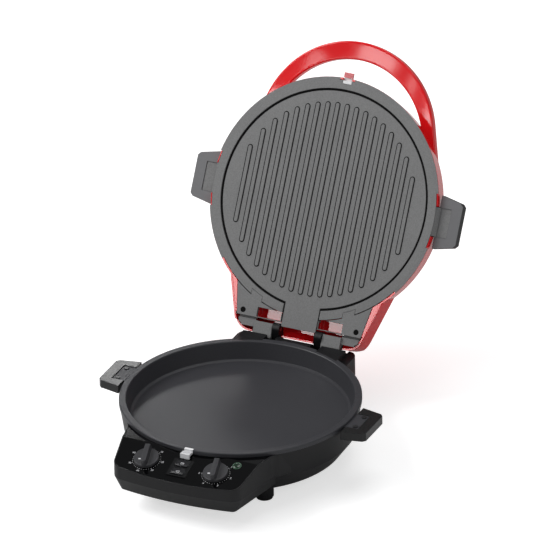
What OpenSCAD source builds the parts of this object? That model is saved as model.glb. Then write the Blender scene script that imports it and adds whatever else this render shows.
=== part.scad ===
// Electric countertop cooker with a hinged lid, standing with its lid open.
// Millimetres, +Z up, the controls face -Y. The origin is on the table under the middle of the whole object.
// Base pieces are drawn round the pan's vertical axis, lid pieces in the lid's own frame:
// u is X, v runs from the hinge axis towards the lid's front as -Y, and w is Z, away from the pan.

/* [Pan] */
// Outer radius of the pan's rim
pan_r = 165; // [155:1:175]
// Height of the rim's outer edge
rim_h = 6; // [5:0.5:8]
// Width of the flat rim
rim_flat = 9; // [7:0.5:11]
// Depth of the pan inside
pan_depth = 26; // [20:1:30]
// Thickness of the cast pan
pan_wall = 3.5; // [2.5:0.25:4]
// How far the wall leans in from rim to floor
pan_draft = 6; // [4:0.5:8]

/* [Base] */
// Height of the feet with their pads
foot_h = 20; // [15:1:25]
// Diameter of a foot
foot_d = 25.5; // [20:0.5:28]
// Thickness of the rubber pad under a foot
foot_pad_h = 3; // [2:0.5:5]
// Half spacing of the rear feet
rear_foot_x = 62; // [50:1:68]
// Height of the base shell above its underside
base_h = 63.7; // [60:0.5:70]
// How much narrower the shell's top edge is than the rim, in radius
base_lip_in = 0.7; // [0.5:0.1:1]
// Height of the shell's lower, steeper band
base_band_h = 24.5; // [20:0.5:28]
// How far the shell has come in at the top of the band
base_band_in = 6.7; // [4:0.5:8]
// How far the shell has come in at its underside
base_foot_in = 24.5; // [20:0.5:28]
// Wall of the base shell
base_wall = 2.5; // [2:0.25:3]
// Radius of the opening in the base's floor
floor_open_r = 100; // [90:1:104]
// Thickness of the bottom cover
cover_t = 1.5; // [1:0.25:2]

/* [Control chin] */
// Reach of the chin in front of the rim
chin_reach = 53.5; // [50:0.5:60]
// Half width of the chin
chin_half_w = 95; // [90:1:98]
// Radius of the chin's long front curve
chin_front_r = 475; // [400:5:600]
// Radius of the chin's front corners
chin_corner_r = 16; // [12:1:20]
// Lean of the chin's sides, out towards the round base
chin_lean = 10; // [6:1:12]
// Radius of the hollow between the chin and the round base
chin_flare_r = 25; // [16:1:30]
// Height of the chin's underside above the table
chin_bottom = 30; // [28:1:34]
// Height at which the front face turns under
chin_turn = 50; // [46:1:54]
// How far the underside edge is set back
chin_under = 9; // [6:1:12]
// Wall of the chin
chin_wall = 3; // [2.5:0.25:3.5]
// Slope of the control panel
panel_slope = 17.7; // [15:0.1:20]
// Drop of the panel below the rim at the knobs
panel_drop = 15; // [14:0.5:17]
// Thickness of the panel
panel_t = 2.5; // [2:0.25:3]
// Width of the chin's edge round the panel
panel_lip = 1.6; // [1.2:0.1:2]

/* [Controls] */
// Distance of the knobs' line in front of the rim
knob_out = 22.7; // [21:0.1:24]
// Half spacing of the two knobs
knob_x = 51.5; // [48:0.5:54]
// Diameter of a knob
knob_d = 34.5; // [30:0.5:36]
// Height of a knob's disc
knob_disc_h = 5; // [4.5:0.25:7]
// Height of a knob with its bar
knob_h = 13.5; // [12:0.5:16]
// Width of a knob's bar
knob_bar_w = 9.5; // [8:0.5:11]
// Turn of the bar at rest
knob_turn = 12; // [0:1:30]
// Diameter of a control shaft
shaft_d = 6; // [5:0.5:6.5]
// Width of a rocker
rocker_w = 18; // [16:0.5:20]
// Length of a rocker along the slope
rocker_l = 11; // [10:0.5:12]
// Spacing of the two rockers along the slope
rocker_pitch = 15.2; // [14.5:0.1:16.5]
// Travel of a rocker
rocker_travel = 12; // [8:1:12]
// Diameter of the power lamp
lamp_d = 10.3; // [8:0.1:11]
// Half spacing of the lamp from the middle
lamp_x = 73.6; // [72:0.2:75]

/* [Latches] */
// Width of a latch tongue
latch_w = 12.5; // [10:0.5:14]
// Travel of a latch
latch_travel = 4; // [3:0.5:4]
// Depth of the notch that a latch holds
notch_depth = 5; // [4:0.5:5.5]
// Width of a latch button
latch_button_w = 13.6; // [12:0.2:15]

/* [Grips] */
// Reach of a grip beyond the rim
grip_reach = 34.5; // [28:0.5:40]
// Half length of a grip beside the rim
grip_inner_half = 37; // [34:0.5:42]
// Half length of a grip at its outer edge
grip_outer_half = 29.5; // [26:0.5:32]
// Thickness of a grip
grip_t = 12; // [10:0.5:14]
// Drop of the pan grips' top below the rim
pan_grip_drop = 2; // [1.5:0.5:3]
// Drop of the plate grips' face behind the ring's face
plate_grip_w = 9; // [7:0.5:11]
// Half length of the cast tab inside a grip
tab_half = 20; // [16:0.5:24]
// Thickness of the cast tab
tab_t = 3; // [2:0.25:4]

/* [Hinge] */
// Distance of the hinge axis behind the rim
hinge_out = 20.4; // [20:0.2:22]
// Gap between the closed grill plate and the pan's rim
closed_gap = 0.6; // [0.5:0.1:1]
// Distance of the hinge axis behind the grill plate's face
hinge_back = 4.5; // [4:0.25:5]
// Angle of the open lid
open_angle = 120; // [110:1:120]
// Diameter of a hinge pin
hinge_pin_d = 6; // [5:0.25:7]
// Inner side of a hinge arm
arm_in = 37.5; // [36:0.5:39]
// Outer side of a hinge arm
arm_out = 65; // [62:0.5:66]
// Length of a hinge arm behind the axis
arm_back = 15.5; // [13:0.5:16]
// Half width of the hinge housing
hinge_half_w = 88; // [86:1:92]
// Reach of the hinge housing behind the hinge axis
hinge_rear = 4.6; // [4:0.2:6]
// Drop of the housing's middle top below the hinge axis
hinge_clear = 19.1; // [18.5:0.1:22]

/* [Grill plate] */
// Radius of the groove round the ribs
groove_r = 151; // [148:0.5:153]
// Width of the groove
groove_w = 3.4; // [2:0.2:4]
// Depth of the groove
groove_h = 2; // [1:0.25:2.5]
// Thickness of the grill plate
plate_t = 5; // [4:0.25:6]
// Number of ribs
rib_count = 18; // [8:2:18]
// Spacing of the ribs
rib_pitch = 14.35; // [13:0.05:14.6]
// Width of a rib
rib_w = 5; // [3:0.25:6]
// Height of a rib above the cooking face
rib_h = 1.5; // [1:0.25:2]
// Radius at which the ribs end
rib_end_r = 133; // [128:1:140]
// Half width of the plate's rear tongue
tongue_half = 25.7; // [20:0.1:27]
// Distance of the tongue's end from the hinge axis
tongue_end = 4; // [3:0.5:6]

/* [Lid] */
// Gap between the grill plate's edge and the shell
shell_gap = 0.9; // [0.6:0.1:1.2]
// Wall of the lid shell
shell_wall = 2.5; // [2:0.25:3]
// Height of the shell's straight side
shell_side = 34; // [30:1:38]
// Height of the shell over all
shell_h = 46; // [42:1:52]
// How far the shell's side leans in
shell_draft = 6; // [4:0.5:8]
// Half width of the shell's neck at the hinge
neck_half = 97.5; // [94:0.5:100]
// Radius of the neck's rear corners
neck_corner = 25; // [20:1:30]
// Lean of the neck's sides
neck_lean = 17.8; // [12:0.2:20]
// Reach of the shell behind the hinge axis
neck_rear = 10.6; // [9:0.2:12]
// Distance of the lid frame's rear edge from the hinge axis
frame_rear = 9.5; // [9:0.25:10]
// Half width of the lid frame at its rear edge
frame_half = 93; // [90:0.5:94]
// Thickness of the lid frame
frame_t = 3; // [2.5:0.25:3.5]
// Inner side of a lid frame window
window_in = 28; // [27:0.5:30]
// Outer side of a lid frame window
window_out = 64; // [60:0.5:65]
// Rear edge of a lid frame window from the hinge axis
window_rear = 10.5; // [10.4:0.1:11]
// Front edge of a lid frame window from the hinge axis
window_front = 23.5; // [20:0.5:25]

/* [Handle] */
// Reach of the handle beyond the plate's rim
handle_reach = 55.8; // [50:0.5:65]
// Width of the handle's band at its front
handle_w = 25; // [20:0.5:28]
// Radius of the handle's outer curve
handle_r = 130; // [125:1:135]
// Radius of the handle's inner curve
handle_in_r = 115; // [110:1:120]
// Angle where the curve runs out into the straight legs
handle_leg_angle = 17.2; // [15:0.2:20]
// Height of the handle's underside in the lid
handle_w0 = 28; // [26:0.5:29]
// Thickness of the handle's band
handle_t = 12; // [10:0.5:14]
// Distance of the legs' ends in front of the plate's middle
leg_end = 12; // [8:1:20]

/* [Heating] */
// Radius of a heating ring
heater_r = 105; // [90:1:120]
// Diameter of a heating tube
heater_d = 6.5; // [6:0.25:8]
// Thickness of a reflector's steel
reflector_t = 1; // [0.8:0.1:1.5]

/* [Hidden] */

// Clearances shared by mating pieces
seat = 0.3;
slip = 0.1;
pin_fit = 0.02;
run_fit = 0.05;
loose = 0.4;
cut = 1;

// Heights and places worked out from the sizes above
base_top = foot_h + base_h;
rim_z = base_top + seat + rim_h;
floor_t = 2.5;
floor_top = foot_h + floor_t;
base_top_r = pan_r - base_lip_in;
band_r = pan_r - base_band_in;
under_r = pan_r - base_foot_in;
band_z = foot_h + base_band_h;
pan_floor = rim_z - pan_depth;
hinge_y = pan_r + hinge_out;
hinge_z = rim_z + closed_gap + hinge_back;
rear_y = hinge_y + hinge_rear;
lid_y = -hinge_y;
knob_y = -(pan_r + knob_out);
panel_z = rim_z - panel_drop;
panel_cap = base_top + 0.8;
rim_clear = 0.6;
ledge_r = 146;
ledge_t = 2.5;
reflector_z = band_z + 0.5;
handle_w1 = handle_w0 + handle_t;
front_y = pan_r + chin_reach;
reach_y = hinge_y - (hinge_y + pan_r + handle_reach) * cos(open_angle)
    + (handle_w1 - hinge_back) * sin(open_angle);
mid_y = (reach_y - front_y) / 2;

// Fasteners
screw_d = 3.5;
screw_head_d = 7.5;
screw_head_h = 2.5;
boss_d = 9;
boss_h = 12;
screw_reach = 10;
cover_lap = 8;
cover_screw_r = floor_open_r + 4.5;
foot_angle = 50.6;
foot_ring = under_r - foot_d / 2 - 1.7;
rear_foot_y = 160;

// Control unit sizes
unit_w = 34;
unit_l = 28;
unit_h = 22;
bush_d = 9;
bush_out = 3;
nut_af = 12;
nut_h = 2;
shaft_top = 9;
shaft_bore = 9.5;
knob_lift = 0.6;
knob_hollow_d = 17;
knob_hollow_h = 3.6;
rocker_top = 2.2;
rocker_dip = 1.2;
rocker_pivot_d = 3;
switch_s = -3.7;
switch_cheek = 2;
switch_margin = 3;
switch_lift = 1.5;
switch_depth = 16;
pocket_depth = 8;
lamp_s = 21.3;
lamp_rise = 1.6;
lamp_depth = 10;

// Latch sizes
tongue_out = 13;
button_l = 7;
button_ribs = 4;
stem_w = 8;
stem_out = 6;
stem_t = 2;
stem_drop = 7.2;
skirt_t = 2;
skirt_z = 81.2;

// Lid shapes, in the lid's frame
shoulder_w = 30;
frame_gap = 1.2;
side_out = 8.6;
side_v = 56;
horn_out = 17;
horn_v = 75;
lip_w = 0.6;
lip_t = 2;
lip_v = 12;
back_w = 20;
back_rib_w = 9;
back_v = 9;
grip_strip_r = pan_r + 1.9;
shell_r = pan_r + shell_gap + shell_wall;
seat_w = plate_t + seat;
frame_ring_t = 2.7;
frame_ring_in = 151;
ring_back = seat_w + frame_ring_t;
ring_out_r = shell_r - shell_wall - shell_draft * (ring_back + cut) / (shell_side + cut) - slip;
ring_flange = 2.8;
boss_lid_d = 8;
flange_t = ring_back - frame_t;
frame_screw_x = 85;
frame_screw_v = 16.3;
front_screw_angle = 67;
front_screw_r = 158.4;
hook_in = 60.4;
hook_out = 77.8;
hook_r = 158.5;
plate_back = plate_t + 1;
dish_w = 21;
dish_r = 138;

// Points of an arc
function arc(cx, cy, r, a0, a1, n) = [
    for (i = [0 : n]) [cx + r * cos(a0 + (a1 - a0) * i / n), cy + r * sin(a0 + (a1 - a0) * i / n)]
];

// Plan of the chin, each edge moved in by d
chin_arc_y = -front_y + chin_front_r;
corner_x = chin_half_w - chin_corner_r;
corner_y = chin_arc_y - sqrt(pow(chin_front_r - chin_corner_r, 2) - pow(corner_x, 2));
corner_a = asin(corner_x / (chin_front_r - chin_corner_r));
chin_back_y = -pan_r * 0.6;
turn_step = 0.05;
function chin_front(d) = concat(
    arc(0, chin_arc_y, chin_front_r - d, -90 - corner_a, -90 + corner_a, 14),
    arc(corner_x, corner_y, chin_corner_r - d, -90 + corner_a + 10, -chin_lean, 6)
);
function chin_left(d) = arc(-corner_x, corner_y, chin_corner_r - d, 180 + chin_lean, 270 - corner_a - 10, 6);

// The side's straight line lies at side_p along its own outward normal
side_p = corner_x * cos(chin_lean) - corner_y * sin(chin_lean) + chin_corner_r;
function chin_back_x(d) = (side_p - d + chin_back_y * sin(chin_lean)) / cos(chin_lean);
function chin_points(d) = concat(
    chin_front(d),
    [[chin_back_x(d), chin_back_y], [-chin_back_x(d), chin_back_y]],
    chin_left(d)
);

// The same plan with the hollow flares that join it to the round base
flare_p = side_p + chin_flare_r;
flare_q = -sqrt(pow(pan_r + chin_flare_r, 2) - pow(flare_p, 2));
flare_x = flare_p * cos(chin_lean) + flare_q * sin(chin_lean);
flare_y = flare_q * cos(chin_lean) - flare_p * sin(chin_lean);
flare_a = atan2(-flare_y, -flare_x);
flare_out_a = atan2(flare_y, flare_x);
// Each flare runs out into the base's leaning side: degrees past the hollow, and depth below the rim
flare_run = [[6, 4], [10, 9], [12, 25]];
function flare_tail(d) = [
    for (t = flare_run) (pan_r - t[1] - d) * [cos(flare_out_a + t[0]), sin(flare_out_a + t[0])]
];
function flared_points(d) = concat(
    chin_front(d),
    arc(flare_x, flare_y, chin_flare_r + d, 180 - chin_lean, flare_a, 8),
    flare_tail(d),
    [for (i = [2 : -1 : 0]) [-flare_tail(d)[i][0], flare_tail(d)[i][1]]],
    arc(-flare_x, flare_y, chin_flare_r + d, 180 - flare_a, chin_lean, 8),
    chin_left(d)
);

// Puts a base piece in the part's frame
module base_place() {
    translate([0, -mid_y, 0]) children();
}

// Puts a lid piece in the part's frame, with the lid open
module lid_place() {
    translate([0, hinge_y - mid_y, hinge_z]) rotate([-open_angle, 0, 0])
        translate([0, 0, -hinge_back]) children();
}

// Stands a piece on the control panel, at x across it and s up its slope
module panel_place(x, s) {
    base_place() translate([x, knob_y, panel_z]) rotate([panel_slope, 0, 0])
        translate([0, s, 0]) children();
}

module both_sides() {
    children();
    mirror([1, 0, 0]) children();
}

module disc(r, z0, z1) {
    translate([0, 0, z0]) cylinder(r = r, h = z1 - z0, $fn = 120);
}

module bar(d, z0, z1) {
    translate([0, 0, z0]) cylinder(d = d, h = z1 - z0, $fn = 32);
}

module box(x0, x1, y0, y1, z0, z1) {
    translate([x0, y0, z0]) cube([x1 - x0, y1 - y0, z1 - z0]);
}

// Block of space above the panel's surface, moved down by d
module above_panel(d) {
    translate([0, knob_y, panel_z]) rotate([panel_slope, 0, 0])
        box(-150, 150, -80, 120, -d, 80);
    disc(pan_r + 80, panel_cap - d, panel_cap + 60);
}

// Wall of the round base with its floor ring and the ledge that carries the reflector
module base_ring() {
    rotate_extrude($fn = 120) polygon([
        [floor_open_r, foot_h], [under_r, foot_h], [band_r, band_z], [base_top_r, base_top],
        [base_top_r - base_wall, base_top], [band_r - base_wall, reflector_z], [ledge_r, reflector_z],
        [ledge_r, reflector_z - ledge_t], [band_r - base_wall - 1, reflector_z - ledge_t],
        [under_r - base_wall, floor_top], [floor_open_r, floor_top]
    ]);
}

// Space inside the middle of the base's wall
module base_core() {
    half = base_wall / 2;
    rotate_extrude($fn = 120) polygon([
        [0, foot_h - cut], [under_r - half, foot_h - cut], [under_r - half, foot_h], [band_r - half, band_z],
        [base_top_r - half, base_top], [pan_r + rim_clear, base_top], [pan_r + rim_clear, base_top + 60],
        [0, base_top + 60]
    ]);
}

module chin_plan(d) {
    polygon(flared_points(d));
}

// The chin's body with every face moved in by d
module chin_solid(d) {
    hull() {
        translate([0, 0, chin_bottom + d]) linear_extrude(0.1) polygon(chin_points(chin_under + d));
        translate([0, 0, chin_turn]) linear_extrude(0.1) polygon(chin_points(d + turn_step));
    }
    translate([0, 0, chin_turn]) linear_extrude(base_top - chin_turn + 20) chin_plan(d);
}

module foot_places() {
    both_sides() for (p = [[foot_ring * sin(90 - foot_angle), -foot_ring * cos(90 - foot_angle)],
                           [rear_foot_x, rear_foot_y]])
        translate([p[0], p[1], 0]) children();
}

module cover_screw_places() {
    for (a = [0 : 90 : 270]) rotate([0, 0, a + 20]) translate([cover_screw_r, 0, 0]) children();
}

module chin_shell() {
    difference() {
        chin_solid(0);
        above_panel(0);
        chin_solid(chin_wall);
        intersection() {
            translate([0, 0, chin_turn]) linear_extrude(base_top - chin_turn + 20) chin_plan(panel_lip);
            above_panel(panel_t);
        }
        base_core();
    }
}

module base_housing() {
    base_place() color("#2b2b2d") difference() {
        union() {
            base_ring();
            chin_shell();
            cover_screw_places() bar(boss_d, floor_top - 0.1, floor_top + boss_h);
            both_sides() rotate([0, 0, -foot_angle]) translate([foot_ring, 0, 0])
                bar(boss_d, floor_top - 0.1, floor_top + boss_h);
        }
        cover_screw_places() bar(screw_d + 2 * pin_fit, foot_h - cut, floor_top + screw_reach);
        foot_places() bar(screw_d + 2 * pin_fit, foot_h - cut, floor_top + screw_reach);
        translate([0, -pan_r + 20, band_z + 12]) rotate([90, 0, 0]) bar(14, 0, 40);
        translate([0, pan_r + 20, band_z - 10]) rotate([90, 0, 0]) bar(14, 0, 60);
    }
}

module bottom_cover() {
    base_place() color("#8d9094") difference() {
        disc(floor_open_r + cover_lap, foot_h - cover_t, foot_h);
        cover_screw_places() bar(screw_d + loose, foot_h - cover_t - cut, foot_h + cut);
        both_sides() for (i = [0 : 5]) box(20, 60, -45 + i * 12, -41 + i * 12, 0, foot_h + cut);
    }
}

module screw(head_z, top_z) {
    bar(screw_head_d, head_z, head_z + screw_head_h);
    bar(screw_d, head_z + screw_head_h, top_z);
}

module cover_screws() {
    base_place() color("#b9bcc0") cover_screw_places()
        screw(foot_h - cover_t - screw_head_h, floor_top + screw_reach - cut);
}

foot_well_d = 10;
foot_well_h = 6;
module feet() {
    base_place() color("#1d1d1f") foot_places() difference() {
        bar(foot_d, foot_pad_h, foot_h);
        bar(foot_well_d, foot_pad_h - cut, foot_pad_h + foot_well_h);
        bar(screw_d + loose, 0, foot_h + cut);
    }
}

module foot_pads() {
    base_place() color("#101010") foot_places() {
        bar(foot_d - 3, 0, foot_pad_h);
        bar(foot_well_d - 2 * slip, foot_pad_h, foot_pad_h + foot_well_h - screw_head_h - seat);
    }
}

module foot_screws() {
    base_place() color("#b9bcc0") foot_places()
        screw(foot_pad_h + foot_well_h - screw_head_h, floor_top + screw_reach - cut);
}

module control_panel() {
    color("#050506") difference() {
        base_place() difference() {
            translate([0, 0, chin_turn]) linear_extrude(60) difference() {
                chin_plan(panel_lip + slip);
                circle(r = pan_r + rim_clear + 0.2, $fn = 120);
                translate([-flare_x, flare_y + 6]) square([2 * flare_x, 100]);
            }
            above_panel(0);
            difference() {
                disc(pan_r + 120, 0, base_top + 60);
                above_panel(panel_t);
            }
            box(-stem_w / 2 - loose, stem_w / 2 + loose, -pan_r - stem_out - latch_travel - loose,
                -pan_r - stem_out + stem_t + loose, chin_turn, base_top + 20);
        }
        for (x = [-knob_x, knob_x]) panel_place(x, 0) bar(bush_d + 2 * slip, -20, 20);
        panel_place(lamp_x, lamp_s) bar(lamp_d + 2 * slip, -20, 20);
        panel_place(0, switch_s) switch_block(slip, -20, 20);
    }
}

module switch_block(extra, z0, z1) {
    hw = rocker_w / 2 + switch_cheek + extra;
    hl = (rocker_pitch + rocker_l) / 2 + switch_cheek + extra;
    box(-hw, hw, -hl, hl, z0, z1);
}

module control_unit() {
    difference() {
        union() {
            box(-unit_w / 2, unit_w / 2, -unit_l / 2, unit_l / 2, -panel_t - unit_h, -panel_t);
            bar(bush_d, -panel_t - 0.1, bush_out);
        }
        bar(shaft_d + 2 * run_fit, -panel_t - unit_h + 4, bush_out + cut);
    }
}

module control_shaft() {
    bar(shaft_d, -panel_t - unit_h + 4 + seat, shaft_top);
}

module control_knob() {
    difference() {
        union() {
            bar(knob_d, knob_lift, knob_disc_h);
            intersection() {
                bar(knob_d, knob_lift, knob_h);
                union() {
                    box(-knob_bar_w / 2, knob_bar_w / 2, -knob_d / 2 + knob_bar_w / 2 - 1, knob_d,
                        knob_lift, knob_h);
                    translate([0, -knob_d / 2 + knob_bar_w / 2 - 1, 0])
                        bar(knob_bar_w, knob_lift, knob_h);
                }
            }
        }
        bar(knob_hollow_d, 0, knob_hollow_h);
        bar(shaft_d + 2 * pin_fit, 0, shaft_bore);
    }
}

module timer_unit() {
    color("#c9c9c4") panel_place(-knob_x, 0) control_unit();
}

module timer_shaft() {
    color("#b9bcc0") panel_place(-knob_x, 0) control_shaft();
}

module timer_knob() {
    color("#3c3c3e") panel_place(-knob_x, 0) rotate([0, 0, knob_turn]) control_knob();
}

module thermostat_unit() {
    color("#c9c9c4") panel_place(knob_x, 0) control_unit();
}

module thermostat_shaft() {
    color("#b9bcc0") panel_place(knob_x, 0) control_shaft();
}

module thermostat_knob() {
    color("#3c3c3e") panel_place(knob_x, 0) rotate([0, 0, knob_turn]) control_knob();
}

module shaft_nuts() {
    color("#c8a94b") for (x = [-knob_x, knob_x]) panel_place(x, 0) difference() {
        cylinder(d = nut_af / cos(30), h = nut_h, $fn = 6);
        bar(bush_d + 2 * pin_fit, -cut, nut_h + cut);
    }
}

module rocker_places() {
    for (s = [-rocker_pitch / 2, rocker_pitch / 2]) translate([0, s, 0]) children();
}

module switch_body() {
    hw = rocker_w / 2 + switch_cheek + switch_margin;
    hl = (rocker_pitch + rocker_l) / 2 + switch_cheek + 0.8;
    color("#141416") panel_place(0, switch_s) difference() {
        union() {
            box(-hw, hw, -hl, hl, 0, switch_lift);
            switch_block(0, -switch_depth, 0.1);
        }
        rocker_places() {
            box(-rocker_w / 2 - loose, rocker_w / 2 + loose, -rocker_l / 2 - 0.6, rocker_l / 2 + 0.6,
                -pocket_depth, switch_lift + cut);
            rotate([0, 90, 0]) bar(rocker_pivot_d + 2 * run_fit, -rocker_w / 2 - 1.6, rocker_w / 2 + 1.6);
        }
    }
}

module rocker(side) {
    panel_place(0, switch_s + side * rocker_pitch / 2) rotate([-rocker_travel / 2, 0, 0]) {
        rotate([90, 0, 90]) translate([0, 0, -rocker_w / 2]) linear_extrude(rocker_w) polygon([
            [-rocker_l / 2, rocker_top], [0, rocker_dip], [rocker_l / 2, rocker_top],
            [rocker_l / 2 - 1.3, -3.2], [-rocker_l / 2 + 1.3, -3.2]
        ]);
        rotate([0, 90, 0]) bar(rocker_pivot_d, -rocker_w / 2 - 1.2, rocker_w / 2 + 1.2);
    }
}

module upper_heat_rocker() {
    color("#232326") rocker(1);
}

module lower_heat_rocker() {
    color("#232326") rocker(-1);
}

module power_lamp() {
    color("#1f7a45") panel_place(lamp_x, lamp_s) {
        bar(lamp_d, -panel_t, lamp_rise);
    }
}

module lamp_holder() {
    color("#e4e2da") panel_place(lamp_x, lamp_s)
        bar(lamp_d + 3, -panel_t - lamp_depth, -panel_t);
}

// Notch in a rim for its latch, at the front of a disc round the origin
module latch_notch(z0, z1) {
    box(-latch_w / 2 - loose, latch_w / 2 + loose, -pan_r - cut, -pan_r + notch_depth, z0, z1);
}

module latch_button(z0, z1, y0) {
    difference() {
        box(-latch_button_w / 2, latch_button_w / 2, y0 - button_l, y0, z0, z1);
        for (i = [0 : button_ribs - 2])
            translate([0, y0 - button_l + 1.6 + i * (button_l - 1.6) / (button_ribs - 1), z1])
                box(-latch_button_w, latch_button_w, 0, 0.8, -0.7, cut);
    }
}

module pan_latch() {
    latch_z = base_top + seat;
    base_place() color("#e6e6e8") {
        box(-latch_w / 2, latch_w / 2, -pan_r - tongue_out + 4, -pan_r + notch_depth - loose,
            latch_z, latch_z + 1.6);
        box(-latch_w / 2, latch_w / 2, -pan_r + loose, -pan_r + notch_depth - loose,
            latch_z + 1.6, rim_z - seat);
        box(-stem_w / 2, stem_w / 2, -pan_r - stem_out, -pan_r - stem_out + stem_t,
            base_top - stem_drop, latch_z);
    }
}

module pan_latch_button() {
    y0 = -pan_r - 2.5;
    base_place() color("#cfcfd2") {
        latch_button(base_top + seat + 1.6, rim_z - 2, y0);
        box(-latch_button_w / 2, latch_button_w / 2, y0 - button_l - skirt_t, y0 - button_l + 0.1,
            skirt_z, rim_z - 2);
    }
}

// Cast tab and grip outline at the right side of a round rim
module grip_plan() {
    polygon([[pan_r + 1.2, -grip_inner_half], [pan_r + grip_reach - 4, -grip_outer_half - 1.2],
             [pan_r + grip_reach, -grip_outer_half + 3], [pan_r + grip_reach, grip_outer_half - 3],
             [pan_r + grip_reach - 4, grip_outer_half + 1.2], [pan_r + 1.2, grip_inner_half]]);
}

tab_len = 19;
rivet_x = 13;
rivet_y = 14;
rivet_d = 4;
rivet_head_d = 7;
rivet_head_h = 1;
tab_recess = 1;

module rivet_places() {
    for (y = [-rivet_y, rivet_y]) translate([pan_r + rivet_x, y, 0]) children();
}

module hook_notches(z0, z1) {
    both_sides() difference() {
        box(hook_in, hook_out, 0, pan_r + cut, z0, z1);
        disc(hook_r, z0 - cut, z1 + cut);
    }
}

pan_tab_in = 41;
pan_tab_out = 77;
pan_tab_r = 160.5;
pan_tab_reach = 8;

module pan() {
    out_low = pan_r - rim_flat - pan_draft + pan_wall;
    color("#4a4a4c") base_place() difference() {
        union() {
            rotate_extrude($fn = 120) polygon([
                [0, pan_floor], [pan_r - rim_flat - pan_draft - 4, pan_floor],
                [pan_r - rim_flat - pan_draft, pan_floor + 1.5], [pan_r - rim_flat - 1, rim_z - 1],
                [pan_r - rim_flat, rim_z], [pan_r - 1, rim_z], [pan_r, rim_z - 1],
                [pan_r, rim_z - rim_h], [pan_r - 5, rim_z - rim_h], [out_low, pan_floor - 1],
                [out_low - 3.5, pan_floor - pan_wall], [0, pan_floor - pan_wall]
            ]);
            both_sides() difference() {
                box(pan_r - 4, pan_r + tab_len, -tab_half, tab_half, rim_z - rim_h, rim_z - rim_h + tab_t);
                rivet_places() bar(rivet_d + 2 * pin_fit, 0, rim_z + cut);
            }
        }
        latch_notch(0, rim_z + cut);
        both_sides() difference() {
            box(pan_tab_in - loose, pan_tab_out + loose, 0, pan_r + cut, rim_z - rim_h - cut, rim_z + cut);
            disc(pan_tab_r - loose, 0, rim_z + 2);
        }
    }
}

// A grip lies round the cast tab, which shows at the bottom of a shallow recess from z_low to z_high
module grip_pair(z0, z_low, z_high) {
    both_sides() difference() {
        translate([0, 0, z0]) linear_extrude(grip_t) difference() {
            grip_plan();
            circle(r = pan_r + 2.2, $fn = 120);
        }
        box(pan_r, pan_r + tab_len + slip, -tab_half - slip, tab_half + slip, z_low, z_high);
        rivet_places() bar(rivet_d + 2 * pin_fit, z0 - cut, z0 + grip_t + cut);
    }
}

// Shanks from z0 to z1 with a head at each height in heads
module rivet_pair(z0, z1, heads) {
    both_sides() rivet_places() {
        bar(rivet_d, z0, z1);
        for (z = heads) bar(rivet_head_d, z, z + rivet_head_h);
    }
}

pan_grip_z = rim_z - pan_grip_drop - grip_t;
module pan_grips() {
    color("#1c1c1e") base_place() grip_pair(pan_grip_z, rim_z - rim_h, rim_z);
}

module pan_rivets() {
    tab_top = rim_z - rim_h + tab_t;
    color("#c4c6c9") base_place() rivet_pair(pan_grip_z, tab_top, [pan_grip_z - rivet_head_h, tab_top]);
}

module lower_reflector() {
    rim_r = band_r - base_wall - 1;
    color("#b4b7ba") base_place() difference() {
        rotate_extrude($fn = 120) polygon([
            [0, reflector_z], [ledge_r + 4, reflector_z], [rim_r + 1, reflector_z + 18],
            [rim_r, reflector_z + 18], [ledge_r + 3.3, reflector_z + reflector_t],
            [0, reflector_z + reflector_t]
        ]);
        terminal_places() bar(heater_d + 3.5, 0, rim_z);
    }
}

heater_gap_a = 16;
module terminal_places() {
    for (a = [-heater_gap_a / 2, heater_gap_a / 2]) rotate([0, 0, 90 + a]) translate([heater_r, 0, 0])
        children();
}

lower_heater_z = pan_floor - pan_wall - seat - heater_d / 2;
sleeve_t = 1.5;
sleeve_cover = heater_d / 2 - 0.6;
module heating_ring(z, end_z) {
    translate([0, 0, z]) rotate([0, 0, 90 + heater_gap_a / 2])
        rotate_extrude(angle = 360 - heater_gap_a, $fn = 96) translate([heater_r, 0])
            circle(d = heater_d, $fn = 24);
    terminal_places() bar(heater_d + sleeve_t, min(z - sleeve_cover, end_z), max(z + sleeve_cover, end_z));
}

module lower_element() {
    color("#7d7f82") base_place() heating_ring(lower_heater_z, reflector_z - 8);
}

clip_w = 9;
module clip_posts(z_flat, z_ring) {
    difference() {
        for (a = [0, 120, 240]) rotate([0, 0, a + 30])
            box(heater_r - clip_w / 2 - 1, heater_r + clip_w / 2 + 1, -clip_w / 2, clip_w / 2,
                min(z_flat, z_ring), max(z_flat, z_ring));
        translate([0, 0, z_ring]) rotate_extrude($fn = 96) translate([heater_r, 0])
            circle(d = heater_d + 2 * pin_fit, $fn = 24);
    }
}

module element_clips() {
    color("#b9bcc0") base_place() clip_posts(reflector_z + reflector_t, lower_heater_z);
}

cutout_d = 16;
cutout_h = 7;
module lower_cutout() {
    color("#d8d4c8") base_place() translate([40, -30, 0]) bar(cutout_d, reflector_z - cutout_h, reflector_z);
}

module terminal_block() {
    color("#e9e6dc") base_place() difference() {
        box(-22, 22, 52, 68, foot_h, foot_h + 12);
        for (x = [-15, 0, 15]) translate([x, 60, 0]) bar(4, foot_h + 4, foot_h + 20);
    }
}

hinge_mid_top = hinge_z - hinge_clear;
hinge_end_top = hinge_mid_top + 4;
hinge_corner = 14;
hinge_end_w = 14;
hinge_wall = 2.5;
knuckle_w = 11;
knuckle_r = 7.5;
sill_half = arm_in - loose - knuckle_w + 0.2;

module hinge_plan(d) {
    polygon(concat(
        [[-hinge_half_w + d, 60], [hinge_half_w - d, 60]],
        arc(hinge_half_w - hinge_corner, rear_y - hinge_corner, hinge_corner - d, 0, 90, 6),
        arc(-hinge_half_w + hinge_corner, rear_y - hinge_corner, hinge_corner - d, 90, 180, 6)
    ));
}

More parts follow.
